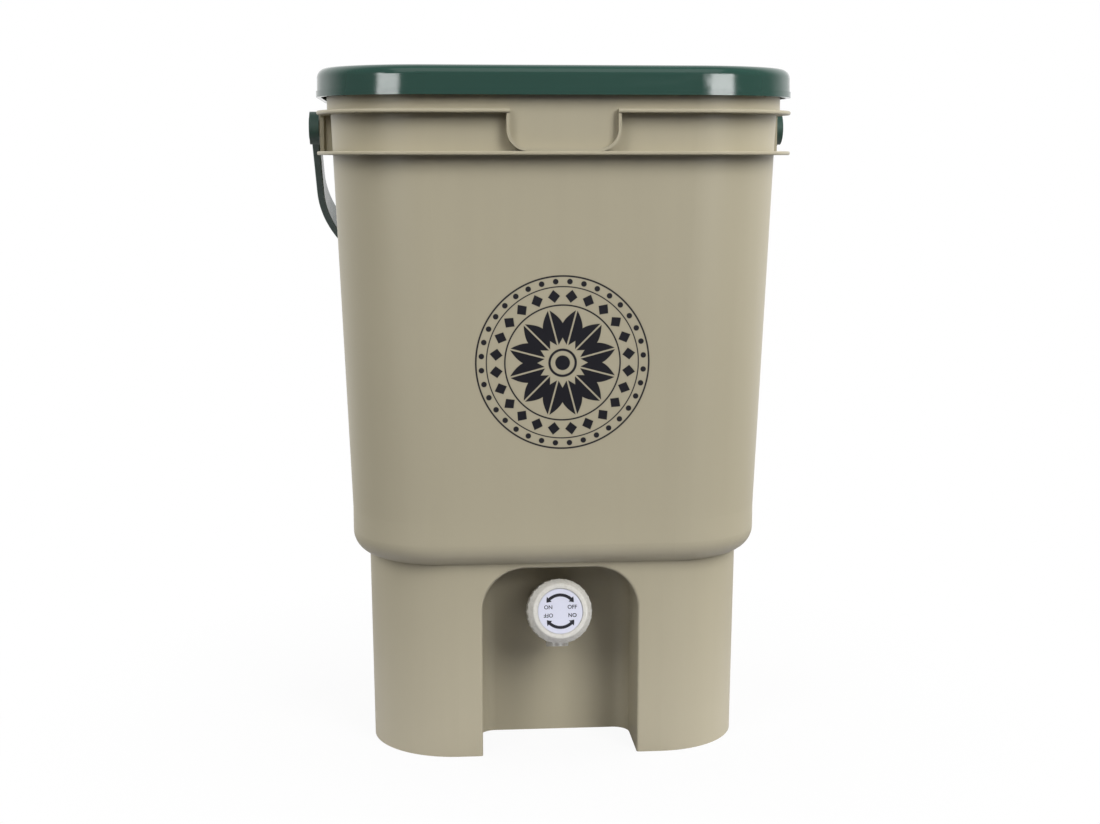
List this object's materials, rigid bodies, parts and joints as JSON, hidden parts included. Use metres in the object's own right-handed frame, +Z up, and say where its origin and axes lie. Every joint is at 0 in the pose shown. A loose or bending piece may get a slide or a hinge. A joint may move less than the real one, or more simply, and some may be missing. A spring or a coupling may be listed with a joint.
{
  "type": "bokashi bin",
  "caption": "Kitchen composting bin: tapered flanged tank on a foot skirt with press-on lid, strap bail handle, inner drain tray and a screw tap in an arched recess.",
  "frame": {"origin": "on the floor under the middle of the tank", "axes": "+Z up, -Y to the front where the tap is, +X to the right seen from the front"},
  "size_m": [0.3044, 0.2419, 0.42],
  "materials": {
    "taupe_plastic": "satin moulded polypropylene",
    "green_gloss": "polished moulded polypropylene",
    "green_satin": "satin moulded polypropylene",
    "white_plastic": "glossy white moulded plastic",
    "soft_seal": "pale soft elastomer",
    "black_rubber": "matt black rubber",
    "label_print": "printed film"
  },
  "bodies": {
    "bin": {"bin": "taupe_plastic", "tap_body": "white_plastic", "tap_outer_washer": "black_rubber", "tap_inner_washer": "black_rubber", "tap_lock_nut": "white_plastic"},
    "lid": {"lid": "green_gloss", "lid_seal": "soft_seal"},
    "handle": {"handle_arm_left": "green_satin", "handle_arm_right": "green_satin", "handle_grip": "green_satin"},
    "tray": {"strainer_tray": "taupe_plastic"},
    "tap_spindle": {"tap_stem": "white_plastic", "tap_valve_washer": "black_rubber", "tap_stem_seal": "black_rubber"},
    "tap_knob": {"tap_knob": "white_plastic", "tap_label": "label_print"}
  },
  "joints": [
    {"name": "lid_lift", "type": "slide", "parent": "bin", "child": "lid", "axis": [0, 0, 1], "range_m": [0, 0.18]},
    {"name": "handle_swing", "type": "hinge", "parent": "bin", "child": "handle", "pos_m": [0, 0, 0.3857], "axis": [1, 0, 0], "range_deg": [0, 248.1]},
    {"name": "tray_lift", "type": "slide", "parent": "bin", "child": "tray", "axis": [0, 0, 1], "range_m": [0, 0.25]},
    {"name": "tap_travel", "type": "slide", "parent": "bin", "child": "tap_spindle", "axis": [0, -0.9659, 0.2588], "range_m": [0, 0.0045]},
    {"name": "tap_turn", "type": "hinge", "parent": "tap_spindle", "child": "tap_knob", "pos_m": [0, -0.058, 0.0817], "axis": [0, -0.9659, 0.2588], "range_deg": [0, 270]}
  ],
  "couplings": [
    {"joint": "tap_travel", "follows": "tap_turn", "m_per_rad": 0.0009549}
  ]
}
